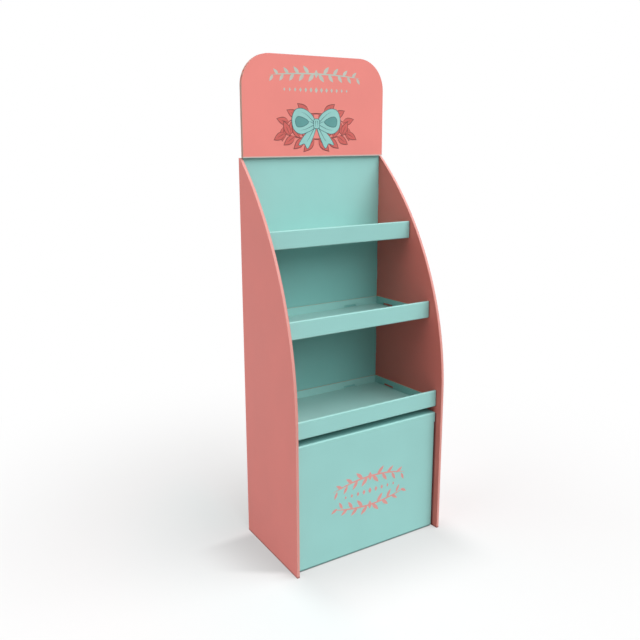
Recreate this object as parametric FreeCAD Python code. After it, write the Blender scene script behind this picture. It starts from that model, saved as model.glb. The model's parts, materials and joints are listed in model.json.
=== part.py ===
import FreeCAD, Part
import math
import os

# Cardboard display stand, in millimetres.
# X runs to the right, Y to the back and Z up. The origin is on the floor, below the middle of the stand.

# Overall sizes
front_width = 480.0
side_taper = 13.0
depth = 290.0
side_height = 1050.0
header_height = 258.0

# Thickness of each board
side_board = 8.0
back_board = 5.0
header_board = 10.0
shelf_board = 3.0
base_board = 4.0
support_board = 4.0

# Outline of the side panels
straight_height = 410.0
top_flat = 6.0
edge_round = 0.8

# Header card, and the tongue of the back panel that stands behind it and is glued to it
header_overhang = 2.5
header_corner = 82.0
back_inset = 1.0
tongue_width = 300.0
tongue_height = 80.0
tongue_corner = 12.0

# Shelf trays, from the bottom one up
shelf_names = ("bottom", "middle", "top")
shelf_heights = (367.0, 614.5, 827.0)
shelf_setbacks = (21.0, 23.0, 12.5)
lip_height = 47.0
lip_thickness = 7.5
flange_height = 22.0

# Base
shadow_gap = 17.5
base_floor_gap = 2.0
base_side_gap = 1.0
ledge_depth = 96.0
ledge_hem = 24.0
return_depth = 60.0
floor_flange_height = 40.0
support_width = 280.0
support_depth = 96.0
support_rear_gap = 14.0

# Tabs and the slots that take them
tab_length = 40.0
tab_reach = 4.0
tab_root = 8.0
shelf_tab_shares = (0.25, 0.75)
shelf_tab_limit = 0.31
back_tab_length = 60.0
rear_tab_spread = 120.0
notch_slit = 1.0
fit_gap = 0.3

# Places that follow from the sizes above
front_y = -depth / 2
rear_y = depth / 2
lean = math.atan2(side_taper, depth)
back_rear_y = rear_y - back_inset
back_front_y = back_rear_y - back_board
curve_run = depth - top_flat
curve_rise = side_height - straight_height
curve_radius = (curve_rise ** 2 + curve_run ** 2) / (2 * curve_run)
base_height = shelf_heights[0] - shadow_gap
levels = (0.0,) + shelf_heights + (side_height,)
back_tab_heights = [(low + high) / 2 for low, high in zip(levels, levels[1:])]
same = 0.01


def inner_half(y):
    """Half of the clear width between the two side panels at the depth y."""
    return front_width / 2 - (y - front_y) * math.tan(lean) - side_board / math.cos(lean)


def curve_y(z):
    """Depth of the side panels' front edge at the height z."""
    rise = max(0.0, z - straight_height)
    return front_y + curve_radius - math.sqrt(curve_radius ** 2 - rise ** 2)


def box(x0, x1, y0, y1, z0, z1):
    return Part.makeBox(x1 - x0, y1 - y0, z1 - z0, FreeCAD.Vector(x0, y0, z0))


def mirrored(shape):
    return shape.mirror(FreeCAD.Vector(0, 0, 0), FreeCAD.Vector(1, 0, 0))


def both_sides(shape):
    return [shape, mirrored(shape)]


def round_top(card, radius):
    """Rounds the two upper corners of an upright card that faces the front."""
    top = card.BoundBox.ZMax - same
    corners = [edge for edge in card.Edges if edge.BoundBox.ZMin > top and edge.BoundBox.XLength < same]
    return card.makeFillet(radius, corners)


def folded_face(inner_points, board, place):
    """Section of a folded sheet. The points follow its inner face, all folds turn clockwise,
    and each fold is round on the outside. place turns a flat point into a point in space."""
    points = [FreeCAD.Vector(a, b, 0) for a, b in inner_points]
    normals = []
    for start, end in zip(points, points[1:]):
        run = (end - start).normalize()
        normals.append(FreeCAD.Vector(-run.y, run.x, 0) * board)

    def line(start, end):
        return Part.makeLine(place(start), place(end))

    edges = [line(start, end) for start, end in zip(points, points[1:])]
    edges.append(line(points[-1], points[-1] + normals[-1]))
    for i in range(len(normals) - 1, -1, -1):
        edges.append(line(points[i + 1] + normals[i], points[i] + normals[i]))
        if i > 0:
            middle = (normals[i] + normals[i - 1]).normalize() * board
            ends = [points[i] + normals[i], points[i] + middle, points[i] + normals[i - 1]]
            edges.append(Part.Arc(*[place(end) for end in ends]).toShape())
    edges.append(line(points[0] + normals[0], points[0]))
    return Part.Face(Part.Wire(Part.__sortEdges__(edges)))


def plan_prism(y0, y1, z0, z1, gap):
    """Space between the side panels from y0 to y1, less a gap on each side."""
    front_half = inner_half(y0) - gap
    rear_half = inner_half(y1) - gap
    corners = [(-front_half, y0), (front_half, y0), (rear_half, y1), (-rear_half, y1), (-front_half, y0)]
    outline = Part.makePolygon([FreeCAD.Vector(x, y, z0) for x, y in corners])
    return Part.Face(outline).extrude(FreeCAD.Vector(0, 0, z1 - z0))


def folded_across(points, board, gap=fit_gap):
    """Sheet folded along X, from a section in depth and height, cut to the clear width less the gaps."""
    face = folded_face(points, board, lambda p: FreeCAD.Vector(-front_width, p.x, p.y))
    bounds = face.BoundBox
    low, high = bounds.ZMin - board, bounds.ZMax + board
    room = plan_prism(bounds.YMin - board, bounds.YMax + board, low, high, gap)
    return face.extrude(FreeCAD.Vector(2 * front_width, 0, 0)).common(room)


def deck_with_flanges(y0, y1, deck_top, flange, board):
    """Deck from y0 to y1, with a flange folded up along each side panel."""
    inside = inner_half(y0) - fit_gap - board
    points = [(inside, deck_top + flange), (inside, deck_top), (0, deck_top)]
    face = folded_face(points, board, lambda p: FreeCAD.Vector(p.x, y0, p.y))
    run = FreeCAD.Vector(-(y1 - y0) * math.tan(lean), y1 - y0, 0)
    right = face.extrude(run)
    return right.fuse(mirrored(right))


def side_tab(y, z0, z1, length, gap=0.0):
    """Tab at a right-hand side panel, or its slot when gap is not zero."""
    root = inner_half(y) - tab_root
    tip = inner_half(y) + tab_reach + gap
    return box(root, tip, y - length / 2 - gap, y + length / 2 + gap, z0 - gap, z1 + gap)


def rear_tab(x, z0, z1, gap=0.0):
    """Tab through the back panel, or its slot when gap is not zero."""
    half = tab_length / 2 + gap
    return box(x - half, x + half, back_front_y - tab_root, back_rear_y + gap, z0 - gap, z1 + gap)


def lip_y(i):
    """Front face of a shelf's lip, set back from the curved edge at the top of the lip."""
    return curve_y(shelf_heights[i] + lip_height) + shelf_setbacks[i]


def shelf_run(i):
    """Depth of a shelf's deck, from the rear of its lip to the back panel."""
    return back_front_y - lip_y(i) - lip_thickness


def shelf_tab_places(i):
    """Depths of the two side tabs of a shelf, as shares of its deck."""
    return [lip_y(i) + lip_thickness + share * shelf_run(i) for share in shelf_tab_shares]


def shelf_tab_length(i):
    """Length of a shelf's side tabs, which are shorter where the deck is shallow."""
    return min(tab_length, shelf_tab_limit * shelf_run(i))


def side_slots():
    """Blind slots on the inner face of the right-hand side panel."""
    slots = []
    for i, height in enumerate(shelf_heights):
        for y in shelf_tab_places(i):
            slots.append(side_tab(y, height, height + shelf_board, shelf_tab_length(i), fit_gap))
    slots.append(side_tab(ledge_tab_y(), base_height - base_board, base_height, tab_length, fit_gap))
    for z in back_tab_heights:
        slots.append(back_side_tab(z, fit_gap))
    return slots


def back_side_tab(z, gap=0.0):
    """Tab of the back panel in the right-hand side panel, or its slot."""
    root = inner_half(back_rear_y) - tab_root
    tip = inner_half(back_front_y) + tab_reach + gap
    z0 = z - back_tab_length / 2 - gap
    z1 = z + back_tab_length / 2 + gap
    return box(root, tip, back_front_y - gap, back_rear_y + gap, z0, z1)


def side_panel():
    """Right-hand side panel: an upright board that leans in towards the back."""
    board_depth = depth / math.cos(lean)
    corner = FreeCAD.Vector(0, 0, 0)
    knee = FreeCAD.Vector(0, 0, straight_height)
    middle_rise = curve_rise / 2
    middle_in = curve_radius - math.sqrt(curve_radius ** 2 - middle_rise ** 2)
    middle = FreeCAD.Vector(0, middle_in / math.cos(lean), straight_height + middle_rise)
    tip = FreeCAD.Vector(0, board_depth - top_flat, side_height)
    top = FreeCAD.Vector(0, board_depth, side_height)
    heel = FreeCAD.Vector(0, board_depth, 0)
    edges = [
        Part.makeLine(corner, knee),
        Part.Arc(knee, middle, tip).toShape(),
        Part.makeLine(tip, top),
        Part.makeLine(top, heel),
        Part.makeLine(heel, corner),
    ]
    board = Part.Face(Part.Wire(edges)).extrude(FreeCAD.Vector(-side_board, 0, 0))
    rims = [edge for edge in board.Edges if edge.BoundBox.XLength < same]
    board = board.makeFillet(edge_round, rims)
    board.rotate(FreeCAD.Vector(0, 0, 0), FreeCAD.Vector(0, 0, 1), math.degrees(lean))
    board.translate(FreeCAD.Vector(front_width / 2, front_y, 0))
    return board.cut(side_slots())


def back_panel():
    """Flat sheet between the sides, with a tongue that stands up behind the header card."""
    half = inner_half(back_rear_y) - fit_gap
    sheet = box(-half, half, back_front_y, back_rear_y, 0, side_height)
    tongue = box(-tongue_width / 2, tongue_width / 2, back_front_y, back_rear_y,
                 side_height - tongue_corner, side_height + tongue_height)
    tongue = round_top(tongue, tongue_corner)
    tabs = [tab for z in back_tab_heights for tab in both_sides(back_side_tab(z))]
    slots = []
    for height in shelf_heights:
        for x in (-rear_tab_spread, rear_tab_spread):
            slots.append(rear_tab(x, height, height + shelf_board, fit_gap))
    return sheet.fuse([tongue] + tabs).cut(slots).removeSplitter()


def header_card():
    """Doubled card with round top corners, in front of the tongue. It reaches a little over the sides."""
    half = inner_half(back_front_y) + header_overhang
    top = side_height + header_height
    card = box(-half, half, back_front_y - header_board, back_front_y, side_height, top)
    return round_top(card, header_corner)


def shelf_tray(i):
    """One folded sheet: deck, double front lip, side flanges, rear flange and tabs."""
    board = shelf_board
    deck_low = shelf_heights[i]
    deck_top = deck_low + board
    wall_y = lip_y(i) + board
    inner_wall_y = lip_y(i) + lip_thickness - board
    lip_under = deck_low + lip_height - board
    flange_y0 = lip_y(i) + lip_thickness + notch_slit
    rear_in_y = back_front_y - fit_gap - board
    flange_y1 = rear_in_y - notch_slit
    lip_path = [
        (flange_y0, deck_top),
        (wall_y, deck_top),
        (wall_y, lip_under),
        (inner_wall_y, lip_under),
        (inner_wall_y, deck_top + fit_gap),
    ]
    lip = folded_across(lip_path, board)
    rear_path = [(rear_in_y, deck_top + flange_height), (rear_in_y, deck_top), (flange_y1, deck_top)]
    rear = folded_across(rear_path, board)
    deck = deck_with_flanges(flange_y0, flange_y1, deck_top, flange_height, board)
    tray = deck.fuse([lip, rear])
    notch_top = deck_top + tab_reach + board
    notches = []
    tabs = []
    for y in shelf_tab_places(i):
        notch = side_tab(y, deck_top, notch_top, shelf_tab_length(i) + 2 * notch_slit)
        notches += both_sides(notch)
        tabs += both_sides(side_tab(y, deck_low, deck_top, shelf_tab_length(i)))
    for x in (-rear_tab_spread, rear_tab_spread):
        reach = tab_length / 2 + notch_slit
        notches.append(box(x - reach, x + reach, rear_in_y - notch_slit, rear_y, deck_top, notch_top))
        tabs.append(rear_tab(x, deck_low, deck_top))
    return tray.cut(notches).fuse(tabs).removeSplitter()


def base_wall_y():
    """Rear face of the base's front wall, whose front is flush with the bottom lip."""
    return lip_y(0) + base_board


def ledge_tab_y():
    """Depth of the tab on each side of the base ledge."""
    return lip_y(0) + ledge_depth / 2


def base_front_panel():
    """One folded sheet: front wall, ledge folded back at the top with a hem, and side returns."""
    board = base_board
    wall_y = base_wall_y()
    under = base_height - board
    return_top = under - ledge_hem
    rear = lip_y(0) + ledge_depth - board
    top_path = [(wall_y, return_top), (wall_y, under), (rear, under), (rear, under - ledge_hem)]
    top = folded_across(top_path, board, base_side_gap)
    front_half = inner_half(wall_y) - base_side_gap - board
    end_y = wall_y + return_depth
    end_half = inner_half(end_y) - base_side_gap - board
    plan = [(end_half, end_y), (front_half, wall_y), (-front_half, wall_y), (-end_half, end_y)]
    face = folded_face(plan, board, lambda p: FreeCAD.Vector(p.x, p.y, base_floor_gap))
    wall = face.extrude(FreeCAD.Vector(0, 0, return_top - base_floor_gap))
    tabs = both_sides(side_tab(ledge_tab_y(), under, base_height, tab_length))
    return top.fuse([wall] + tabs).removeSplitter()


def base_floor_tray():
    """Shallow folded tray on the floor, inside the front panel, the back panel and the sides."""
    board = shelf_board
    front_in_y = base_wall_y() + fit_gap + board
    rear_in_y = back_front_y - fit_gap - board
    y0 = base_wall_y() + return_depth + notch_slit
    y1 = rear_in_y - notch_slit
    top = board + floor_flange_height
    front_path = [(y0, board), (front_in_y, board), (front_in_y, top)]
    front = folded_across(front_path, board)
    trim = inner_half(y0) - base_side_gap - base_board - fit_gap
    front = front.common(box(-trim, trim, front_y, rear_y, 0, top))
    rear = folded_across([(rear_in_y, top), (rear_in_y, board), (y1, board)], board)
    deck = deck_with_flanges(y0, y1, board, floor_flange_height, board)
    return deck.fuse([front, rear]).removeSplitter()


def base_support():
    """Folded insert that stands on the floor tray and carries the bottom shelf tray."""
    board = support_board
    rear = back_front_y - support_rear_gap
    web_y = rear - support_depth + board
    half = support_width / 2 - board
    plan = [(half, rear), (half, web_y), (-half, web_y), (-half, rear)]
    face = folded_face(plan, board, lambda p: FreeCAD.Vector(p.x, p.y, shelf_board))
    return face.extrude(FreeCAD.Vector(0, 0, shelf_heights[0] - shelf_board))


def main():
    right = side_panel()
    parts = {
        "left_side_panel": mirrored(right),
        "right_side_panel": right,
        "back_panel": back_panel(),
        "header_card": header_card(),
        "base_front_panel": base_front_panel(),
        "base_floor_tray": base_floor_tray(),
        "base_support": base_support(),
    }
    for i, name in enumerate(shelf_names):
        parts[name + "_shelf_tray"] = shelf_tray(i)
    os.makedirs("parts", exist_ok=True)
    for name, shape in parts.items():
        shape.exportStep("parts/" + name + ".step")


main()
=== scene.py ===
# %% [markdown]
# # A cardboard display stand
# The real stand is made of corrugated board: two tall side boards, a back, three folded shelf trays,
# a closed base and a rounded header card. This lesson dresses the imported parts, piece by piece.
# Everything is in metres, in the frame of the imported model, so sizes in millimetres are times MM.

# %% Load the frame
import bpy
import bmesh
import json
import math
from mathutils import Matrix, Vector

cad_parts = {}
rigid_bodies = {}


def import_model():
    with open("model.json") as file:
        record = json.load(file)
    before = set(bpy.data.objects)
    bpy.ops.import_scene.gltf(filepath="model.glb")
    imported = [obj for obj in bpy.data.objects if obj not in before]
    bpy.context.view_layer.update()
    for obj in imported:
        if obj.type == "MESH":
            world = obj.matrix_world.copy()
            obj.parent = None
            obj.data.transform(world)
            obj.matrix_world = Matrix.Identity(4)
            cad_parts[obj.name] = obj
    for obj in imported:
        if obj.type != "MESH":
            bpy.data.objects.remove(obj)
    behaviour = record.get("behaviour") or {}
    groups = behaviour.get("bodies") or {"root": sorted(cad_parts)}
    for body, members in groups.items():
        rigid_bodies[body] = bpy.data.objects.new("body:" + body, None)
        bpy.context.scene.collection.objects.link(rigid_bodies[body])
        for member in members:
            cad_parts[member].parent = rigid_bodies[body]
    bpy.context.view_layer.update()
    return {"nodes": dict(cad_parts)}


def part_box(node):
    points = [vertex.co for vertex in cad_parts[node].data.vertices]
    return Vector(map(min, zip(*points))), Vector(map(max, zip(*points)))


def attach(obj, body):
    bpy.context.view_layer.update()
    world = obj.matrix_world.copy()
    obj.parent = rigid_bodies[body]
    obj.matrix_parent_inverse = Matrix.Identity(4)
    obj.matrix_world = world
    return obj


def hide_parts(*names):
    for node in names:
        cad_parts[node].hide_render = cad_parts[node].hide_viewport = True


for spare in list(bpy.data.objects):
    bpy.data.objects.remove(spare)

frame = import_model()
nodes = frame["nodes"]
MM = 0.001
print("frame nodes:", sorted(nodes))

# %% [markdown]
# ## The camera
# The picture was taken from the left of the stand, a little above its middle. A camera's axes can be
# worked out from three angles: how far it is turned, how far it looks down and how far it is tilted.
# Writing the axes into the camera's matrix avoids any doubt about the order of rotations.

# %% Camera
CAMERA_PLACE = Vector((-1.12307, -1.61690, 1.10004))
CAMERA_TURN = math.radians(-32.976)
CAMERA_DOWN = math.radians(13.652)
CAMERA_TILT = math.radians(-0.174)
CAMERA_LENS = 42.24
SENSOR_WIDTH = 36.0


def camera_matrix(place, turn, down, tilt):
    """Matrix of a camera that stands at place and looks along the turned, lowered direction."""
    forward = Vector(
        (-math.sin(turn) * math.cos(down), math.cos(turn) * math.cos(down), -math.sin(down)))
    level = Vector((math.cos(turn), math.sin(turn), 0))
    above = level.cross(forward)
    right = level * math.cos(tilt) + above * math.sin(tilt)
    up = above * math.cos(tilt) - level * math.sin(tilt)
    axes = Matrix((right, up, -forward)).transposed().to_4x4()
    return Matrix.Translation(place) @ axes


camera_data = bpy.data.cameras.new("camera")
camera_data.lens = CAMERA_LENS
camera_data.sensor_width = SENSOR_WIDTH
camera = bpy.data.objects.new("camera", camera_data)
camera.matrix_world = camera_matrix(CAMERA_PLACE, CAMERA_TURN, CAMERA_DOWN, CAMERA_TILT)
bpy.context.scene.collection.objects.link(camera)
bpy.context.scene.camera = camera
bpy.context.scene.view_settings.view_transform = "Standard"
print("camera at", CAMERA_PLACE)

# %% [markdown]
# ## Node trees as sums
# Shader maths is hard to read as a chain of nodes. A small class that wraps a socket lets Python's
# plus, minus and times add the Math nodes, so a mask can be written as a formula. Every other node
# comes from one method, which sets a node's settings first and its sockets after that.
# The same class serves material trees and geometry trees.


# %% A wire that can be added and multiplied
class Wire:
    """One output of a node. Arithmetic on it adds Math nodes to the same tree."""

    def __init__(self, tree, socket):
        self.tree = tree
        self.socket = socket

    def output(self, name):
        """Another output of the same node."""
        return Wire(self.tree, self.socket.node.outputs[name])

    def math(self, operation, *values):
        return self.tree.node("ShaderNodeMath", {"operation": operation}, values)

    def __add__(self, value):
        return self.math("ADD", self, value)

    def __radd__(self, value):
        return self.math("ADD", value, self)

    def __sub__(self, value):
        return self.math("SUBTRACT", self, value)

    def __rsub__(self, value):
        return self.math("SUBTRACT", value, self)

    def __mul__(self, value):
        return self.math("MULTIPLY", self, value)

    def __truediv__(self, value):
        return self.math("DIVIDE", self, value)

    def sine(self):
        return self.math("SINE", self)

    def size(self):
        return self.math("ABSOLUTE", self)

    def root(self):
        return self.math("SQRT", self)

    def step(self, low, high):
        """A soft step that is 0 up to low and 1 from high on. high may be the smaller one."""
        return self.tree.node(
            "ShaderNodeMapRange", {"interpolation_type": "SMOOTHSTEP"}, [self, low, high, 0.0, 1.0])

    def split(self):
        """The three numbers of a vector."""
        parts = self.tree.node("ShaderNodeSeparateXYZ", {}, [self])
        return parts, parts.output("Y"), parts.output("Z")


class Tree:
    """A node tree with one method that adds any node."""

    def __init__(self, node_tree):
        self.node_tree = node_tree

    def node(self, kind, settings, inputs, output=0):
        """Adds a node. inputs is a list in the order of the sockets, or a dictionary by name."""
        node = self.node_tree.nodes.new(kind)
        for name, value in settings.items():
            setattr(node, name, value)
        pairs = inputs.items() if isinstance(inputs, dict) else enumerate(inputs)
        for key, value in pairs:
            if isinstance(value, Wire):
                self.node_tree.links.new(value.socket, node.inputs[key])
            else:
                node.inputs[key].default_value = value
        return Wire(self, node.outputs[output]) if node.outputs else None

    def mix(self, factor, first, second):
        """Mixes two colours."""
        sockets = {0: factor, 6: first, 7: second}
        return self.node("ShaderNodeMix", {"data_type": "RGBA"}, sockets, 2)

    def noise(self, place, scale, detail):
        """Noise between about 0 and 1, scale is in waves a metre."""
        sockets = {"Vector": place, "Scale": scale, "Detail": detail}
        return self.node("ShaderNodeTexNoise", {}, sockets, "Fac")


def ink(red, green, blue):
    """A screen colour from 0 to 255, as the linear values that a shader takes."""
    linear = []
    for part in (red, green, blue):
        share = part / 255
        linear.append(share / 12.92 if share <= 0.04045 else ((share + 0.055) / 1.055) ** 2.4)
    return (*linear, 1.0)


def shade(colour, factor):
    """The same linear colour, lighter or darker."""
    return (*[part * factor for part in colour[:3]], 1.0)


print("a middle grey in linear values:", [round(part, 3) for part in ink(128, 128, 128)])

# %% [markdown]
# ## Printed board
# The outer sheets of the board are smooth paper with solid colours printed on them. Close up, such a
# print is never one flat tone: it is a little uneven over a hand's width, the paper's fibres show as
# fine flecks, and the waves inside the board come through as faint ridges. One function makes all
# these finishes. A mask says where the print stops and the brown paper of the board shows.

# %% Colours of the paper and the inks
CORAL = ink(231, 136, 128)
# A paler coral for the side boards' edges: partly wear, partly a painted highlight.
CORAL_WEAR_AND_HIGHLIGHT = ink(202, 146, 138)
# A deeper coral, painted as shade on the side boards' inner faces.
CORAL_PAINTED_SHADE = ink(212, 114, 104)
TEAL = ink(147, 200, 195)
# A paler teal: a painted highlight on upward faces, and wear on the folds.
TEAL_WEAR_AND_HIGHLIGHT = ink(186, 203, 199)
# A deeper teal, painted as shade on the back below the top tray and on the ledge under the lowest tray.
TEAL_PAINTED_SHADE = ink(102, 168, 164)
KRAFT = ink(194, 160, 132)
EDGE_PAPER = ink(214, 188, 172)
# A pale grey, painted along the header's foot as a highlight.
FOOT_HIGHLIGHT_COLOUR = ink(196, 186, 180)
SALMON = ink(203, 98, 92)
OUTLINE = ink(122, 64, 62)
BOW_LINES = ink(62, 104, 108)
TEAL_DEEP = ink(92, 150, 148)
PRINT_TEAL = ink(184, 192, 182)
PRINT_CORAL = ink(214, 148, 142)
FLUTE_PITCH = 6.4 * MM
PAPER_SHEEN = 0.3
MOTTLE_SCALE, FIBRE_SCALE, FLECK_SCALE, STREAK_SCALE = 9.0, 1100.0, 260.0, 60.0
FLECK_EDGE = (0.62, 0.75)
GRAIN_TONE = 0.10
FLECK_HEIGHT, RIDGE_HEIGHT = 0.05, 0.16
GRAIN_STRENGTH, GRAIN_DEPTH = 0.35, 0.25 * MM


def ridges(place, axis):
    """Faint waves of the corrugated paper, repeated along X, Y or Z."""
    along = place.split()[axis]
    return (along * (2 * math.pi / FLUTE_PITCH)).sine()


def paper_finish(tree, place, colour, ridge_axis, roughness):
    """Adds print mottle, fibres and ridges, and joins them to a Principled shader."""
    mottle = tree.noise(place, MOTTLE_SCALE, 2.0)
    fibres = tree.noise(place, FIBRE_SCALE, 3.0)
    flecks = tree.noise(place, FLECK_SCALE, 2.0).step(*FLECK_EDGE)
    tone = mottle * GRAIN_TONE + fibres * GRAIN_TONE + 0.90
    varied = tree.node(
        "ShaderNodeVectorMath", {"operation": "SCALE"}, {0: colour, "Scale": tone})
    height = fibres * GRAIN_TONE + flecks * FLECK_HEIGHT
    if ridge_axis is not None:
        height = height + ridges(place, ridge_axis) * RIDGE_HEIGHT
    bump = tree.node(
        "ShaderNodeBump", {}, {"Strength": GRAIN_STRENGTH, "Distance": GRAIN_DEPTH, "Height": height})
    sockets = {
        "Base Color": varied,
        "Specular IOR Level": PAPER_SHEEN,
        "Roughness": mottle * 0.10 + fibres * 0.08 + (roughness - 0.09),
        "Normal": bump,
    }
    return tree.node("ShaderNodeBsdfPrincipled", {}, sockets)


def new_material(name):
    material = bpy.data.materials.new(name)
    material.use_nodes = True
    material.node_tree.nodes.clear()
    return material, Tree(material.node_tree)


def close_material(tree, shader):
    tree.node("ShaderNodeOutputMaterial", {}, {"Surface": shader})


# %% [markdown]
# ## Finishes of the boards
# The side boards are printed on every face. Their edges are mixed paler, partly as wear and partly as a
# painted highlight, and the trays' tops are paler as a painted highlight, their folds from wear. The
# header and the back are printed on the front only: their rear faces are brown paper. The back's cut
# edges are brown too, while the header is cut from paler paper and has a pale line painted along its
# foot as a highlight. Shade is painted as a deeper colour on the sides' inner faces, on the back below
# the top tray and on the ledge behind the base panel's fold, and a mask mixes it in. Dark lines of
# painted shade run on the sides' print just in front of each tray's lip and of the base panel, and a
# darker band of painted shade runs along each edge that stands on the floor. The masks come from the
# direction of a face and from its place, and the places are read from the boxes of the imported parts.


# %% Finishes of the boards
# How dark painted shade is: the lines beside the lips and base panel, and the band along the foot.
PAINTED_SHADE_TONE = 0.22
LIP_HEIGHT = 47 * MM
FLANGE_TOP = 25 * MM
# Size of the dark lines of painted shade in front of each lip and of the base panel.
LINE_WIDTH = 7 * MM
LINE_REAR = (9 * MM, 5 * MM)
PANEL_HEIGHT = 345 * MM
TRAY_LINE, PANEL_LINE = 0.55, 0.85
# Painted shade along the foot of boards that stand on the floor.
FOOT_SHADE_EDGE = (6.5 * MM, 3.5 * MM)
FOOT_SHADE, SIDE_FOOT_SHADE = 0.75, 0.7
INNER_EDGE = (-0.05, -0.15)
# The ledge under the lowest tray, where a deeper colour is painted as shade.
LEDGE_START = (-MM, 9 * MM)
LEDGE_END = (56 * MM, 36 * MM)
LEDGE_LEVEL = (4 * MM, 3 * MM)
# How much deeper colour is painted as shade on the back below the top tray.
BACK_PAINTED_SHADE, BACK_BLUR = 0.6, 6 * MM
# Height of the pale line painted along the header's foot as a highlight.
FOOT_HIGHLIGHT = (4 * MM, 1.5 * MM)
FRONT_OR_REAR = (0.45, 0.7)
# How much paler places get: side edges from wear and painted highlight, upward faces as a painted
# highlight.
EDGE_WEAR_AND_HIGHLIGHT, TOP_HIGHLIGHT, WORN_FOLDS, BARE_CUTS = 0.75, 0.15, 0.05, 0.9
TRAYS = ("bottom_shelf_tray", "middle_shelf_tray", "top_shelf_tray")
# Each tray's lip and the base panel get a dark line of painted shade beside them.
SHADE_LINES = [(name, LIP_HEIGHT, TRAY_LINE) for name in TRAYS]
SHADE_LINES.append(("base_front_panel", PANEL_HEIGHT, PANEL_LINE))
REAR_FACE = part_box("back_panel")[1].y


def inner_faces(place, normal):
    """The faces that look to the middle of the stand."""
    return (normal.split()[0] * place.split()[0]).step(*INNER_EDGE)


def ledge_top(place, normal):
    """The ledge behind the base panel's fold, under the lowest tray, where shade is painted."""
    _, north, height = place.split()
    low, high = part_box("base_front_panel")
    depth = north - low.y
    level = (height - high.z).size().step(*LEDGE_LEVEL)
    covered = depth.step(*LEDGE_START) * depth.step(*LEDGE_END)
    return covered * normal.split()[2].step(0.6, 0.95) * level


def board_all_over(name, colours, ridge_axis, pale_places, dark_shade, deep_shade, cut=None):
    """Board printed on both sides, with masks for wear and painted highlight, painted shade and raw
    cuts.
    """
    colour, pale_colour, deep_colour = colours
    material, tree = new_material(name)
    source = tree.node("ShaderNodeTexCoord", {}, [], "Object")
    normal = source.output("Normal")
    # Paler places: wear, and painted highlight.
    wear_and_highlight = pale_places(source, normal) * (tree.noise(source, 70.0, 3.0) * 0.6 + 0.7)
    # Painted shade: a deeper colour where the light hardly reaches.
    in_shade = tree.mix(deep_shade(source, normal), colour, deep_colour)
    printed = tree.mix(wear_and_highlight, in_shade, pale_colour)
    if cut is not None:
        printed = tree.mix(cut(source, normal), printed, KRAFT)
    # Painted shade: dark lines and a darker foot.
    darkened = tree.mix(dark_shade(source, normal), printed, shade(colour, PAINTED_SHADE_TONE))
    close_material(tree, paper_finish(tree, source, darkened, ridge_axis, 0.52))
    return material


def behind_trays(place):
    """The back panel below the top tray, where a deeper colour is painted as the trays' shade."""
    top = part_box("top_shelf_tray")[0].z
    return place.split()[2].step(top + BACK_BLUR, top - BACK_BLUR) * BACK_PAINTED_SHADE


def header_foot(place):
    """The lowest few millimetres of the header card, where a pale line is painted as a highlight."""
    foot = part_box("header_card")[0].z
    return place.split()[2].step(foot + FOOT_HIGHLIGHT[0], foot + FOOT_HIGHLIGHT[1])


def board_one_side(name, colour, ridge_axis, edge_colour, mask, masked_colour):
    """Board that is printed on its front face, brown behind, and of edge_colour where it is cut."""
    material, tree = new_material(name)
    source = tree.node("ShaderNodeTexCoord", {}, [], "Object")
    forward = source.output("Normal").split()[1]
    printed = (0.0 - forward).step(*FRONT_OR_REAR)
    streaks = tree.noise(source, STREAK_SCALE, 6.0)
    brown = tree.mix(streaks, shade(KRAFT, 0.88), shade(KRAFT, 1.10))
    bare = tree.mix(forward.step(*FRONT_OR_REAR), edge_colour, brown)
    print_colour = tree.mix(mask(source), colour, masked_colour)
    surface = tree.mix(printed, bare, print_colour)
    close_material(tree, paper_finish(tree, source, surface, ridge_axis, 0.6))
    return material


def board_plain(name, colour):
    """Unprinted board or paper of this colour."""
    material, tree = new_material(name)
    source = tree.node("ShaderNodeTexCoord", {}, [], "Object")
    streaks = tree.noise(source, STREAK_SCALE, 6.0)
    brown = tree.mix(streaks, shade(colour, 0.86), shade(colour, 1.08))
    close_material(tree, paper_finish(tree, source, brown, 0, 0.72))
    return material


def printed_ink(name, colour):
    """Ink on the board's front. It keeps the paper's grain."""
    material, tree = new_material(name)
    source = tree.node("ShaderNodeTexCoord", {}, [], "Object")
    clouds = tree.noise(source, 40.0, 2.0)
    uneven = tree.mix(clouds, shade(colour, 0.92), shade(colour, 1.07))
    close_material(tree, paper_finish(tree, source, uneven, None, 0.5))
    return material


def side_edges(place, normal):
    """The narrow edges of a side board, paler partly from wear and partly as a painted highlight."""
    return normal.split()[0].size().step(0.93, 0.70) * EDGE_WEAR_AND_HIGHLIGHT


def foot_shade(place, normal):
    """The lowest few millimetres of a board that stands on the floor or just above it: painted shade."""
    return place.split()[2].step(*FOOT_SHADE_EDGE) * FOOT_SHADE


def side_shade(place, normal):
    """Painted shade: the floor edge, and dark lines on the inner faces in front of each lip and the
    panel.
    """
    _, north, height = place.split()
    lines = 0.0
    for name, tall, strength in SHADE_LINES:
        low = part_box(name)[0]
        behind, above = north - low.y, height - low.z
        line = behind.step(-LINE_WIDTH, -0.2 * LINE_WIDTH) * behind.step(*LINE_REAR)
        level = above.step(-MM, MM) * above.step(tall + MM, tall - MM)
        lines = lines + line * level * strength
    return lines * inner_faces(place, normal) + foot_shade(place, normal) * SIDE_FOOT_SHADE


def folded_edges(place, normal):
    """Upward faces, paler as a painted highlight, and the rounded folds, paler from wear."""
    _, forward, upward = normal.split()
    turned = forward.size().step(0.98, 0.85) * upward.size().step(0.98, 0.85)
    return upward.step(0.86, 0.99) * TOP_HIGHLIGHT + turned * WORN_FOLDS


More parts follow.
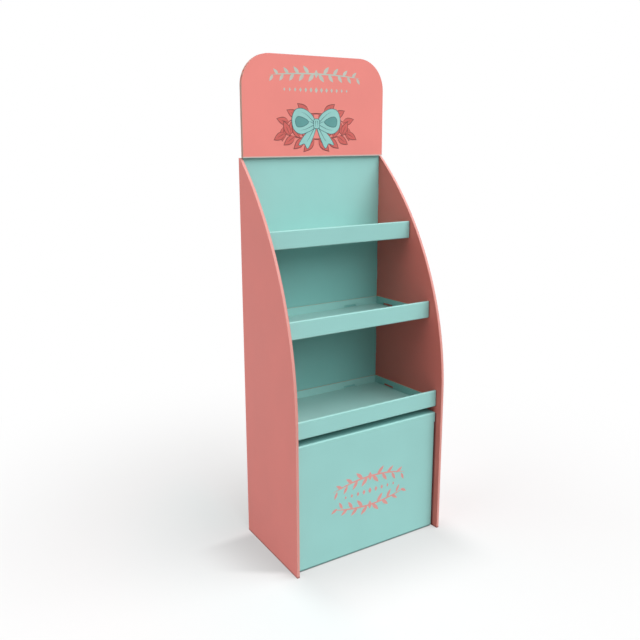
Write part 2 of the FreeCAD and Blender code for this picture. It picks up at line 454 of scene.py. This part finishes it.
def cut_edges(place, normal):
    """Cut edges of the trays: the tops of their inner flanges, and the ends of the tabs at the back."""
    _, north, height = place.split()
    _, forward, upward = normal.split()
    tops = 0.0
    for name in TRAYS:
        rise = height - (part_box(name)[0].z + FLANGE_TOP)
        tops = tops + rise.step(-0.6 * MM, -0.3 * MM) * rise.step(0.6 * MM, 0.3 * MM)
    ends = forward.step(0.90, 0.99) * north.step(REAR_FACE - MM, REAR_FACE - 0.5 * MM)
    return (tops * upward.step(0.90, 0.99) + ends) * BARE_CUTS


# The side boards: paler edges from wear and painted highlight, painted shade on the inner faces and
# foot.
coral_board = board_all_over(
    "coral_board", (CORAL, CORAL_WEAR_AND_HIGHLIGHT, CORAL_PAINTED_SHADE), 1, side_edges, side_shade, inner_faces)
# Trays and base panel: painted highlight on tops, painted shade on the ledge and along the foot.
teal_board = board_all_over(
    "teal_board", (TEAL, TEAL_WEAR_AND_HIGHLIGHT, TEAL_PAINTED_SHADE), 0, folded_edges, foot_shade, ledge_top, cut_edges)
# The back: a deeper colour below the top tray is painted shade.
teal_back = board_one_side("teal_back", shade(TEAL, 1.08), 0, KRAFT, behind_trays, TEAL_PAINTED_SHADE)
# The header: a pale line along its foot is a painted highlight.
coral_header = board_one_side("coral_header", CORAL, 0, EDGE_PAPER, header_foot, FOOT_HIGHLIGHT_COLOUR)
plain_board = board_plain("plain_board", KRAFT)
wave_paper = board_plain("wave_paper", EDGE_PAPER)

finishes = {
    "left_side_panel": coral_board,
    "right_side_panel": coral_board,
    "back_panel": teal_back,
    "header_card": coral_header,
    "base_front_panel": teal_board,
    "base_floor_tray": plain_board,
    "base_support": plain_board,
    "bottom_shelf_tray": teal_board,
    "middle_shelf_tray": teal_board,
    "top_shelf_tray": teal_board,
}
for name, material in finishes.items():
    nodes[name].material_slots[0].material = material
print("finished nodes:", len(finishes))

# %% [markdown]
# ## Plates and outlines
# Thin shapes, such as the paper sheets of a card or a patch of ink, are flat outlines with a little
# thickness. A helper turns any outline in width and height into a closed plate between two depths.
# A smooth outline is drawn through a few points with a Catmull-Rom curve, which is easy to adjust.


# %% Plates and outlines
def new_piece(name, mesh, material):
    """Links a finished mesh as a piece of the stand."""
    piece = bpy.data.objects.new(name, mesh)
    bpy.context.scene.collection.objects.link(piece)
    mesh.materials.clear()
    mesh.materials.append(material)
    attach(piece, "root")
    return piece


def doubled_area(outline):
    """Twice the area inside the outline, below zero where the outline runs clockwise."""
    return sum(a[0] * b[1] - b[0] * a[1] for a, b in zip(outline, outline[1:] + outline[:1]))


def add_plate(shape, outline, front, rear):
    """Adds a closed plate with this outline of (x, z) points, between two depths."""
    points = outline if doubled_area(outline) > 0 else outline[::-1]
    near = [shape.verts.new((x, front, z)) for x, z in points]
    far = [shape.verts.new((x, rear, z)) for x, z in points]
    shape.faces.new(near)
    shape.faces.new(far[::-1])
    count = len(points)
    for i in range(count):
        j = (i + 1) % count
        shape.faces.new((near[j], near[i], far[i], far[j]))


def plates_mesh(name, plates):
    """One mesh of several plates, each given as (outline, front, rear)."""
    shape = bmesh.new()
    for outline, front, rear in plates:
        add_plate(shape, outline, front, rear)
    mesh = bpy.data.meshes.new(name)
    shape.to_mesh(mesh)
    shape.free()
    return mesh


def rounded_card(half, low, high, top_radius, low_radius, steps=24):
    """Outline of an upright card, from the lower left corner up and round."""
    corners = [
        (-half + top_radius, high - top_radius, top_radius, 180),
        (half - top_radius, high - top_radius, top_radius, 90),
        (half - low_radius, low + low_radius, low_radius, 0),
        (-half + low_radius, low + low_radius, low_radius, 270),
    ]
    points = []
    for x, z, radius, start in corners:
        for i in range(steps + 1):
            turn = math.radians(start - 90 * i / steps)
            points.append((x + radius * math.cos(turn), z + radius * math.sin(turn)))
    return points


def curve_point(a, b, c, d, t):
    """Point of a Catmull-Rom curve through a, b, c and d, at the share t of the way from b to c."""
    return 0.5 * (2 * b + (c - a) * t + (2 * a - 5 * b + 4 * c - d) * t ** 2
                  + (3 * b - a - 3 * c + d) * t ** 3)


def smooth_outline(points, steps=10):
    """Closed smooth outline through the points."""
    result = []
    count = len(points)
    for i in range(count):
        a, b, c, d = (Vector(points[(i + k) % count]) for k in (-1, 0, 1, 2))
        for j in range(steps):
            spot = curve_point(a, b, c, d, j / steps)
            result.append((spot.x, spot.y))
    return result


# %% [markdown]
# ## Geometry Nodes trees
# What repeats along an edge is made by a small Geometry Nodes tree. Its sizes are named inputs. The
# tree is run once on an empty object, the result is kept as a plain mesh, and the modifier goes away,
# so that the finished piece has no history and exports as it looks.


# %% Running a geometry tree
INPUT_KINDS = {"float": "NodeSocketFloat", "int": "NodeSocketInt", "vector": "NodeSocketVector",
               "object": "NodeSocketObject", "material": "NodeSocketMaterial"}


def new_geometry_tree(name, inputs):
    """A geometry tree with named inputs, given as a dictionary of name to kind."""
    group = bpy.data.node_groups.new(name, "GeometryNodeTree")
    for label, kind in inputs.items():
        group.interface.new_socket(label, in_out="INPUT", socket_type=INPUT_KINDS[kind])
    group.interface.new_socket("Geometry", in_out="OUTPUT", socket_type="NodeSocketGeometry")
    tree = Tree(group)
    given = tree.node("NodeGroupInput", {}, [])
    return group, tree, given


def run_geometry_tree(name, group, values):
    """Runs a tree with these input values and returns the mesh that it makes."""
    host = bpy.data.objects.new(name, bpy.data.meshes.new(name))
    bpy.context.scene.collection.objects.link(host)
    modifier = host.modifiers.new("shape", "NODES")
    modifier.node_group = group
    for item in group.interface.items_tree:
        if item.in_out == "INPUT":
            modifier[item.identifier] = values[item.name]
    evaluated = host.evaluated_get(bpy.context.evaluated_depsgraph_get())
    mesh = bpy.data.meshes.new_from_object(evaluated)
    host.modifiers.clear()
    bpy.data.objects.remove(host)
    print(name, "has", len(mesh.polygons), "faces")
    return mesh


def path_object(name, points):
    """A closed curve of straight runs, for a geometry tree to follow."""
    curve = bpy.data.curves.new(name, "CURVE")
    curve.dimensions = "3D"
    spline = curve.splines.new("POLY")
    spline.points.add(len(points) - 1)
    for knot, point in zip(spline.points, points):
        knot.co = (*point, 1)
    spline.use_cyclic_u = True
    path = bpy.data.objects.new(name, curve)
    bpy.context.scene.collection.objects.link(path)
    return path


# %% [markdown]
# ## Cut edges of corrugated board
# Where board is cut, the wavy paper between its outer sheets shows. The wave runs across the edge and
# its height depends only on the place along the board, so at the top of a card it is a clear wave and
# down its sides it is a straight line. The tree sweeps a thin band along the edge and then moves each
# point by a sine of its place, which is how the real paper lies. The long side of the band's section
# lies in the plane of the card, and a minus sign takes it from the edge inward, between the sheets.

# %% Cut edges of corrugated board
FLUTE_PAPER = 0.30 * MM
FLUTE_STEP = 0.8 * MM


def wavy_edge_tree():
    """Band that follows a path and waves between the outer sheets."""
    group, tree, given = new_geometry_tree("wavy_edge", {
        "Path": "object", "Pitch": "float", "Wave": "float", "Paper": "float", "Depth": "float",
        "Step": "float", "Along": "vector", "Across": "vector", "Finish": "material"})
    path = tree.node("GeometryNodeObjectInfo", {}, {"Object": given.output("Path")}, "Geometry")
    fine = tree.node("GeometryNodeResampleCurve", {"mode": "LENGTH"},
                     {"Curve": path, "Length": given.output("Step")})
    section = tree.node("GeometryNodeCurvePrimitiveQuadrilateral", {},
                        {"Width": given.output("Paper"), "Height": given.output("Depth")})
    inward = tree.node("ShaderNodeCombineXYZ", {}, [0.0, given.output("Depth") * -0.5, 0.0])
    section = tree.node("GeometryNodeTransform", {}, {"Geometry": section, "Translation": inward})
    band = tree.node("GeometryNodeCurveToMesh", {},
                     {"Curve": fine, "Profile Curve": section, "Fill Caps": True})
    spot = tree.node("GeometryNodeInputPosition", {}, [])
    place = tree.node("ShaderNodeVectorMath", {"operation": "DOT_PRODUCT"},
                      [spot, given.output("Along")], "Value")
    wave = (place / given.output("Pitch") * (2 * math.pi)).sine() * given.output("Wave")
    shift = tree.node("ShaderNodeVectorMath", {"operation": "SCALE"},
                      {0: given.output("Across"), "Scale": wave})
    waved = tree.node("GeometryNodeSetPosition", {}, {"Geometry": band, "Offset": shift})
    real = tree.node("GeometryNodeRealizeInstances", {}, [waved])
    done = tree.node("GeometryNodeSetMaterial", {},
                     {"Geometry": real, "Material": given.output("Finish")})
    tree.node("NodeGroupOutput", {}, {"Geometry": done})
    return group


wavy_edge = wavy_edge_tree()


def wavy_band(name, points, wave, depth, along, across):
    """Mesh of one wavy band along the points."""
    path = path_object(name + "_path", points)
    mesh = run_geometry_tree(name, wavy_edge, {
        "Path": path, "Pitch": FLUTE_PITCH, "Wave": wave, "Paper": FLUTE_PAPER, "Depth": depth,
        "Step": FLUTE_STEP, "Along": along, "Across": across, "Finish": wave_paper})
    bpy.data.objects.remove(path)
    return mesh


def join_meshes(name, meshes):
    """One mesh from several."""
    shape = bmesh.new()
    for mesh in meshes:
        shape.from_mesh(mesh)
    joined = bpy.data.meshes.new(name)
    shape.to_mesh(joined)
    shape.free()
    return joined


# %% [markdown]
# ## The header card
# The header is a thick double-wall card: an outer sheet in front and behind, a middle sheet, and waved
# paper in the two spaces between them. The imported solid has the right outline, so this piece takes its
# sizes from that solid's box and only adds the layers that show at the cut edge.

# %% Header card
HEADER_ROUND = 82 * MM
SHEET = 0.6 * MM
CORE_INSET = 1.6 * MM
FOOT_ROUND, WAVE_FOOT_ROUND = 0.5 * MM, 1.5 * MM
WAVE_TRIM = 0.3 * MM
low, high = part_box("header_card")
header_half = high.x
header_front, header_rear = low.y, high.y
header_low, header_high = low.z, high.z
header_middle = (header_front + header_rear) / 2

full = rounded_card(header_half, header_low, header_high, HEADER_ROUND, FOOT_ROUND)
inner = rounded_card(header_half - CORE_INSET, header_low + CORE_INSET, header_high - CORE_INSET,
                     HEADER_ROUND - CORE_INSET, FOOT_ROUND)
sheets = [
    (full, header_front, header_front + SHEET),
    (full, header_middle - SHEET / 2, header_middle + SHEET / 2),
    (full, header_rear - SHEET, header_rear),
    (inner, header_front + SHEET, header_middle - SHEET / 2),
    (inner, header_middle + SHEET / 2, header_rear - SHEET),
]
sheets_mesh = plates_mesh("header_sheets", sheets)
header_piece = new_piece("header_sheets", sheets_mesh, coral_header)
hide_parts("header_card")

wave_gap = header_middle - header_front - 1.5 * SHEET
wave_height = (wave_gap - FLUTE_PAPER) / 2
edge = rounded_card(header_half - WAVE_TRIM, header_low + WAVE_TRIM, header_high - WAVE_TRIM,
                    HEADER_ROUND - WAVE_TRIM, WAVE_FOOT_ROUND)
turn_start = edge[-1:] + edge[:-1]
bands = []
for depth in (header_front + SHEET + wave_gap / 2, header_rear - SHEET - wave_gap / 2):
    points = [(x, depth, z) for x, z in turn_start]
    bands.append(wavy_band("header_wave", points, wave_height, CORE_INSET, (1, 0, 0), (0, 1, 0)))
header_waves = new_piece("header_waves", join_meshes("header_waves", bands), wave_paper)
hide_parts("header_card")

# %% [markdown]
# ## Printed ornaments
# The front of the header and the base carry a print. It is made of real shapes, stacked in layers of
# 0.08 mm, because drawn outlines stay sharp at any distance. A leaf or a lozenge is drawn once, and a
# tree repeats it along an arch: smaller towards the ends, turned to both sides in turn. Neighbours
# that overlap lie at slightly different depths, so that no two faces share a plane.

# %% Leaves and lozenges along an arch
INK_STEP = 0.08 * MM
OVERLAP_STEP = 0.02 * MM


def leaf_outline(length, width, steps=14):
    """Pointed leaf along X, widest a little before its middle."""
    upper = []
    for i in range(1, steps):
        t = i / steps
        upper.append((length * t, width / 2 * math.sin(math.pi * t ** 0.85)))
    lower = [(x, -z) for x, z in reversed(upper)]
    return [(0, 0)] + upper + [(length, 0)] + lower


def lozenge_outline(width, height):
    return [(-width / 2, 0), (0, -height / 2), (width / 2, 0), (0, height / 2)]


def motif_object(name, outline):
    """A plate that a tree repeats."""
    motif = bpy.data.objects.new(name, plates_mesh(name, [(outline, -INK_STEP, 0)]))
    bpy.context.scene.collection.objects.link(motif)
    return motif


def arch_tree():
    """Repeats a motif along an arch, turned to both sides in turn and smaller towards the ends."""
    group, tree, given = new_geometry_tree("arch_of_motifs", {
        "Motif": "object", "Length": "float", "Rise": "float", "Count": "int", "Lean": "float",
        "End size": "float", "Centre": "vector", "Finish": "material"})
    half = given.output("Length") * 0.5
    left = tree.node("ShaderNodeCombineXYZ", {}, [half * -1.0, 0.0, 0.0])
    right = tree.node("ShaderNodeCombineXYZ", {}, [half, 0.0, 0.0])
    line = tree.node("GeometryNodeMeshLine", {"mode": "END_POINTS"},
                     {"Count": given.output("Count"), "Start Location": left, "Offset": right})
    across = tree.node("GeometryNodeInputPosition", {}, []).split()[0]
    share = across / half
    order = tree.node("GeometryNodeInputIndex", {}, [])
    layer = order.math("MODULO", order, 3.0) * -OVERLAP_STEP
    rise = (1.0 - share * share) * given.output("Rise")
    lift = tree.node("ShaderNodeCombineXYZ", {}, [0.0, layer, rise])
    arch = tree.node("GeometryNodeSetPosition", {}, {"Geometry": line, "Offset": lift})
    side = order.math("MODULO", order, 2.0) * 2.0 - 1.0
    leftward = across.math("LESS_THAN", across, 0.0)
    slope = share * given.output("Rise") * -2.0 / half
    turn = side * given.output("Lean") + leftward * math.pi - slope.math("ARCTANGENT", slope)
    euler = tree.node("ShaderNodeCombineXYZ", {}, [0.0, turn, 0.0])
    size = 1.0 - share.size() * (1.0 - given.output("End size"))
    motif = tree.node("GeometryNodeObjectInfo", {}, {"Object": given.output("Motif")}, "Geometry")
    scale = tree.node("ShaderNodeCombineXYZ", {}, [size, 1.0, size])
    placed = tree.node("GeometryNodeInstanceOnPoints", {},
                       {"Points": arch, "Instance": motif, "Rotation": euler, "Scale": scale})
    real = tree.node("GeometryNodeRealizeInstances", {}, [placed])
    moved = tree.node("GeometryNodeTransform", {},
                      {"Geometry": real, "Translation": given.output("Centre")})
    done = tree.node("GeometryNodeSetMaterial", {},
                     {"Geometry": moved, "Material": given.output("Finish")})
    tree.node("NodeGroupOutput", {}, {"Geometry": done})
    return group


arch_of_motifs = arch_tree()


def arch(name, outline, length, rise, count, lean, end_size, centre, material):
    """Mesh of one arch of motifs in front of the depth centre.y."""
    motif = motif_object(name + "_motif", outline)
    mesh = run_geometry_tree(name, arch_of_motifs, {
        "Motif": motif, "Length": length, "Rise": rise, "Count": count, "Lean": lean,
        "End size": end_size, "Centre": centre, "Finish": material})
    bpy.data.objects.remove(motif)
    return mesh


def stem_outline(length, rise, width, x_centre, z_centre, steps=32):
    """Thin band along the same arch, pointed at both ends."""
    upper, lower = [], []
    for i in range(steps + 1):
        share = 2 * i / steps - 1
        x = x_centre + share * length / 2
        z = z_centre + (1 - share * share) * rise
        half = width / 2 * max(0.0, 1 - share ** 4)
        upper.append((x, z + half))
        lower.append((x, z - half))
    return upper[:-1] + lower[:0:-1]


teal_ink = printed_ink("teal_ink", PRINT_TEAL)
salmon_ink = printed_ink("salmon_ink", SALMON)
outline_ink = printed_ink("outline_ink", OUTLINE)
line_ink = printed_ink("line_ink", BOW_LINES)
bow_ink = printed_ink("bow_ink", TEAL)
fold_ink = printed_ink("fold_ink", TEAL_DEEP)
coral_ink = printed_ink("coral_ink", PRINT_CORAL)

# %% [markdown]
# ## Print on the header
# A line of small leaves runs across the top, with a row of lozenges below it. Under them stands a bow
# with dark teal lines, over a wreath of two arches of darker leaves. Each colour is one piece, and
# shapes that lie over each other are one layer apart, in the order in which they cover each other.

# %% Print on the header
BORDER_Z = 1.256
ROW_Z = 1.222
BORDER_LENGTH, BORDER_STEM, ROW_LENGTH = 262 * MM, 286 * MM, 196 * MM
BORDER_RISE = 7 * MM
BORDER_LEAF = (27 * MM, 11 * MM)
ROW_LOZENGE = (9.5 * MM, 15 * MM)
MIDDLE_LOZENGE = (13 * MM, 22 * MM)
INK_LEVELS = 18
STEM_LEVEL, MIDDLE_LEVEL = 2, 3
front = header_front
level = [front - INK_STEP * i for i in range(INK_LEVELS)]


def ink_piece(name, meshes, material):
    return new_piece(name, join_meshes(name, meshes), material)


def stem_plate(name, outline, front_level, rear):
    return plates_mesh(name, [(outline, front_level, rear)])


border_stem = stem_outline(BORDER_STEM, BORDER_RISE, 3.6 * MM, 0, BORDER_Z)
border_middle = [(x, BORDER_Z + BORDER_RISE + z) for x, z in lozenge_outline(*MIDDLE_LOZENGE)]
ink_piece("header_border", [
    arch("border_leaves", leaf_outline(*BORDER_LEAF), BORDER_LENGTH, BORDER_RISE, 18,
         math.radians(50), 0.7, (0, level[0], BORDER_Z), teal_ink),
    stem_plate("border_stem", border_stem, level[STEM_LEVEL], front),
    arch("border_row", lozenge_outline(*ROW_LOZENGE), ROW_LENGTH, 0.0, 13, 0.0, 0.6,
         (0, level[0], ROW_Z), teal_ink),
    stem_plate("border_middle", border_middle, level[MIDDLE_LEVEL], front),
], teal_ink)

# %% [markdown]
# The bow is drawn for one side, in millimetres from the middle of its knot, and mirrored to the other.
# Each shape is placed twice: a dark one that is a little larger, and the coloured one on top of it.
# Fold lines are long thin bands that run out of the knot and end in a point.

# %% The bow
BOW_Z = 1.136
BOW_SCALE = 0.86
LOOP = [(6, 9), (22, 30), (50, 44), (76, 40), (88, 14), (82, -16), (58, -30), (26, -22), (6, -9)]
LOOP_INSIDE = [(30, 5), (48, 17), (68, 20), (76, 8), (70, -8), (48, -7)]
TAIL = [(2, -8), (8, -28), (18, -50), (33, -74), (45, -60), (64, -64), (50, -42), (30, -22), (12, -6)]
KNOT = [(-10, 0), (-9, 11), (0, 14), (9, 11), (10, 0), (9, -11), (0, -14), (-9, -11)]
FOLDS = [
    [(11, 5), (24, 17), (40, 29), (56, 35)],
    [(11, 1), (18, 4), (25, 6), (31, 6)],
    [(11, -4), (26, -11), (42, -17), (60, -20)],
    [(9, -14), (19, -30), (28, -44), (36, -54)],
]
KNOT_FOLDS = [[(-3, 9), (-4, 3), (-4, -3), (-3, -9)], [(3, 9), (4, 3), (4, -3), (3, -9)]]
OUTLINE_WIDTH = 1.7
FOLD_WIDTH = 1.9
TAIL_LEVEL, LOOP_LEVEL, INSIDE_LEVEL, FOLD_LEVEL, KNOT_LEVEL, KNOT_FOLD_LEVEL = 9, 11, 13, 14, 15, 17
WREATH = (("upper", 200, 34, -8, 0), ("lower", 196, -16, -24, 4))
LEAF_EDGE, LEAF_BODY, LEAF_VEIN = (48 * MM, 24 * MM), (45 * MM, 20 * MM), (33 * MM, 1.8 * MM)
STEM_PAST = 18


def bow_place(point, side):
    return side * point[0] * BOW_SCALE * MM, BOW_Z + point[1] * BOW_SCALE * MM


def grown(points, grow):
    """Outline moved outwards by a width, along the normals of its corners."""
    result = []
    count = len(points)
    turn = 1 if doubled_area(points) > 0 else -1
    for i, point in enumerate(points):
        before, after = Vector(points[i - 1]), Vector(points[(i + 1) % count])
        run = (after - before).normalized()
        result.append((point[0] + turn * run.y * grow, point[1] - turn * run.x * grow))
    return result


def fold_line(points, width):
    """Thin band along the points, wide at its start and pointed at its end."""
    line = smooth_line(points)
    upper, lower = [], []
    for i, point in enumerate(line):
        before, after = Vector(line[max(i - 1, 0)]), Vector(line[min(i + 1, len(line) - 1)])
        run = (after - before).normalized()
        half = width / 2 * (1 - i / (len(line) - 1)) ** 0.7
        upper.append((point[0] - run.y * half, point[1] + run.x * half))
        lower.append((point[0] + run.y * half, point[1] - run.x * half))
    return upper[:-1] + [line[-1]] + lower[-2::-1]


def smooth_line(points, steps=6):
    """Open smooth line through the points."""
    ends = [points[0]] + points + [points[-1]]
    line = []
    for i in range(len(points) - 1):
        a, b, c, d = (Vector(ends[i + k]) for k in range(4))
        for j in range(steps):
            line.append(tuple(curve_point(a, b, c, d, j / steps)))
    return line + [points[-1]]


dark, light, folds, lines = [], [], [], []


def add_shape(points, side, depth):
    """A coloured shape at this level, and its dark outline just behind it."""
    shape = smooth_outline(points)
    dark.append(([bow_place(p, side) for p in grown(shape, OUTLINE_WIDTH)], level[depth], front))
    light.append(([bow_place(p, side) for p in shape], level[depth + 1], front))


for side in (-1, 1):
    add_shape(TAIL, side, TAIL_LEVEL)
    add_shape(LOOP, side, LOOP_LEVEL)
    inside = smooth_outline(LOOP_INSIDE)
    edge = [bow_place(p, side) for p in grown(inside, OUTLINE_WIDTH)]
    dark.append((edge, level[INSIDE_LEVEL], front))
    folds.append(([bow_place(p, side) for p in inside], level[INSIDE_LEVEL + 1], front))
    for points in FOLDS:
        band = [bow_place(p, side) for p in fold_line(points, FOLD_WIDTH)]
        lines.append((band, level[FOLD_LEVEL], front))
add_shape(KNOT, 1, KNOT_LEVEL)
for points in KNOT_FOLDS:
    band = [bow_place(p, 1) for p in fold_line(points, FOLD_WIDTH)]
    lines.append((band, level[KNOT_FOLD_LEVEL], front))

leaf_lines, leaf_bodies = [], []
for name, length, rise, lift, low_level in WREATH:
    stem_level, edge_level, body_level, vein_level = level[low_level:low_level + 4]
    centre_z = BOW_Z + lift * MM
    shape = {"length": length * MM, "rise": rise * MM, "count": 14, "lean": math.radians(46),
             "end_size": 0.8}
    stem = stem_outline((length + STEM_PAST) * MM, rise * MM, 3.4 * MM, 0, centre_z)
    leaf_lines += [
        stem_plate(name + "_stem", stem, edge_level, stem_level),
        arch(name + "_edges", leaf_outline(*LEAF_EDGE), centre=(0, edge_level, centre_z),
             material=outline_ink, **shape),
        arch(name + "_veins", leaf_outline(*LEAF_VEIN), centre=(0, vein_level, centre_z),
             material=outline_ink, **shape),
    ]
    leaf_bodies.append(arch(name + "_bodies", leaf_outline(*LEAF_BODY),
                            centre=(0, body_level, centre_z), material=salmon_ink, **shape))
ink_piece("header_outlines", leaf_lines, outline_ink)
ink_piece("header_bow_lines", [plates_mesh("bow_lines", dark + lines)], line_ink)
ink_piece("header_leaves", leaf_bodies, salmon_ink)
ink_piece("header_bow", [plates_mesh("bow_bodies", light)], bow_ink)
ink_piece("header_bow_folds", [plates_mesh("bow_folds", folds)], fold_ink)

# %% [markdown]
# ## Print on the base
# The base has a coral ornament in its middle, drawn in lines about as bold as those on the header: an
# arch of leaves over a second one that is turned down, with lozenges between them.

# %% Print on the base
PANEL_Z = 0.172
PANEL_X = 0.005
PANEL_ARCH, PANEL_STEM, PANEL_ROW = 214 * MM, 244 * MM, 160 * MM
PANEL_LEAF, PANEL_LOZENGE, PANEL_MIDDLE = (32 * MM, 11 * MM), (11 * MM, 18 * MM), (15 * MM, 25 * MM)
panel_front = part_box("base_front_panel")[0].y

panel_ink = []
for name, rise, lift in (("upper", 18, 24), ("lower", -18, -24)):
    centre_z = PANEL_Z + lift * MM
    panel_ink.append(arch(name + "_leaves", leaf_outline(*PANEL_LEAF), PANEL_ARCH, rise * MM, 14,
                          math.radians(48), 0.7, (PANEL_X, panel_front, centre_z), coral_ink))
    stem = stem_outline(PANEL_STEM, rise * MM, 4.4 * MM, PANEL_X, centre_z)
    panel_ink.append(stem_plate(name + "_stem", stem, panel_front - STEM_LEVEL * INK_STEP, panel_front))
    middle = [(PANEL_X + x, centre_z + rise * MM + z) for x, z in lozenge_outline(*PANEL_MIDDLE)]
    middle_front = panel_front - MIDDLE_LEVEL * INK_STEP
    panel_ink.append(stem_plate(name + "_middle", middle, middle_front, panel_front))
panel_ink.append(arch("panel_row", lozenge_outline(*PANEL_LOZENGE), PANEL_ROW, 0.0, 9, 0.0, 0.55,
                      (PANEL_X, panel_front, PANEL_Z), coral_ink))
ink_piece("base_ornament", panel_ink, coral_ink)

# %% [markdown]
# ## Light and floor
# A soft studio has large lamps and pale surroundings. Here two wide suns stand for the lamps: a strong
# one high in front and a little to the right, and a weak one on the left and a little behind. A dim,
# even world fills in the rest. The floor throws back less light than it shows, so that the boards stay
# as deep in colour below as above. The soft shade to the left of the stand and in front of it is
# painted on the floor at fixed places, and so is a cool tint on the left. For the camera alone the
# world and the far floor are white, while the floor near the stand is lit and keeps its shadow.

# %% Light and floor
SURROUNDING_LIGHT = 0.27
LAMPS = {
    "front_lamp": (3.5, 70, (0.33, -0.56, 0.76)),
    "left_lamp": (1.2, 60, (-0.80, 0.20, 0.57)),
}
FLOOR_RADIUS = 14.0
FOOT_HALF_WIDTH = 0.224
FOOT_HALF_DEPTH = 0.1235
LIT_FLOOR = 0.7
CLEAR_FLOOR = 1.6
FLOOR_WHITE = 0.45
SEEN_FLOOR = ink(223, 223, 223)
COOL_FLOOR = ink(214, 223, 223)
BOUNCE_FLOOR = ink(170, 170, 170)
LEFT_FACE, FRONT_FACE, FADE = 0.24, 0.125, 0.03
LEFT_REACH, LEFT_SHADE = 0.19, 0.6
FRONT_REACH, FRONT_SHADE = 0.28, 0.38
CORNER_SLOPE, CORNER_EDGE = 0.7, (-0.005, 0.03)
LEFT_END, FRONT_END = (0.14, 0.10), (0.31, 0.20)
COOL_SIDE, COOL_REACH = (-0.15, -0.30), (0.75, 0.35)


def white_to_the_eye(tree, seen, lit):
    """Mixes a lit shader with plain white for the rays that show the surroundings."""
    white = tree.node("ShaderNodeEmission", {}, {"Color": (1, 1, 1, 1), "Strength": 1.0})
    return tree.node("ShaderNodeMixShader", {}, [seen, lit, white])


world = bpy.data.worlds.new("studio")
bpy.context.scene.world = world
world.use_nodes = True
world.node_tree.nodes.clear()
sky = Tree(world.node_tree)
ray = sky.node("ShaderNodeLightPath", {}, [], "Is Camera Ray")
mirror_ray = ray.output("Is Glossy Ray")
clear_ray = ray.output("Is Transmission Ray")
seen = ray.math("MAXIMUM", ray.math("MAXIMUM", ray, mirror_ray), clear_ray)
dim = sky.node("ShaderNodeBackground", {}, {"Color": (1, 1, 1, 1), "Strength": SURROUNDING_LIGHT})
bright = sky.node("ShaderNodeBackground", {}, {"Color": (1, 1, 1, 1), "Strength": 1.0})
surroundings = sky.node("ShaderNodeMixShader", {}, [seen, dim, bright])
sky.node("ShaderNodeOutputWorld", {}, {"Surface": surroundings})

for name, (strength, spread, direction) in LAMPS.items():
    lamp_data = bpy.data.lights.new(name, "SUN")
    lamp_data.energy = strength
    lamp_data.angle = math.radians(spread)
    lamp = bpy.data.objects.new(name, lamp_data)
    lamp.rotation_euler = Vector(direction).to_track_quat("Z", "Y").to_euler()
    bpy.context.scene.collection.objects.link(lamp)

floor_mesh = bpy.data.meshes.new("floor")
outline = bmesh.new()
bmesh.ops.create_circle(outline, cap_ends=True, segments=96, radius=FLOOR_RADIUS)
outline.to_mesh(floor_mesh)
outline.free()
floor = bpy.data.objects.new("floor", floor_mesh)
bpy.context.scene.collection.objects.link(floor)
floor_material, floor_tree = new_material("floor_white")
place = floor_tree.node("ShaderNodeTexCoord", {}, [], "Object")
east, north, _ = place.split()
reach = (east * east + north * north).root()
floor_ray = floor_tree.node("ShaderNodeLightPath", {}, [], "Is Camera Ray")
floor_seen = floor_ray.math("MAXIMUM", floor_ray, floor_ray.output("Is Glossy Ray"))
left_gap = -LEFT_FACE - east
front_gap = -FRONT_FACE - north
behind_corner = 0.0 - front_gap - left_gap * CORNER_SLOPE
left_part = behind_corner.step(*CORNER_EDGE) * north.step(*LEFT_END) * left_gap.step(-FADE, 0.0)
front_part = front_gap.step(-FADE, 0.0) * east.size().step(*FRONT_END)
left_shade = left_gap.step(LEFT_REACH, -0.02) * left_part * LEFT_SHADE
front_shade = front_gap.step(FRONT_REACH, 0.0) * front_part * FRONT_SHADE
# The cool tint cancels the pink light that the coral side throws on the floor: painted light.
left_of_it = east.step(*COOL_SIDE) * reach.step(*COOL_REACH)
floor_tint = floor_tree.mix(left_of_it, SEEN_FLOOR, COOL_FLOOR)
lit_share = 1.0 - left_shade - front_shade
floor_tone = floor_tree.node(
    "ShaderNodeVectorMath", {"operation": "SCALE"}, {0: floor_tint, "Scale": lit_share})
seen_paper = floor_tree.node("ShaderNodeBsdfDiffuse", {}, {"Color": floor_tone})
bounce_paper = floor_tree.node("ShaderNodeBsdfDiffuse", {}, {"Color": BOUNCE_FLOOR})
paper = floor_tree.node("ShaderNodeMixShader", {}, [floor_ray, bounce_paper, seen_paper])
under_width = east.size().step(FOOT_HALF_WIDTH + MM, FOOT_HALF_WIDTH)
under_depth = north.size().step(FOOT_HALF_DEPTH + MM, FOOT_HALF_DEPTH)
under = under_width * under_depth
near = (1.0 - under) * FLOOR_WHITE
whitened = reach.step(LIT_FLOOR, CLEAR_FLOOR) * (1.0 - near) + near
far_white = white_to_the_eye(floor_tree, whitened * floor_seen, paper)
close_material(floor_tree, far_white)
floor_mesh.materials.append(floor_material)
print("floor radius", FLOOR_RADIUS)
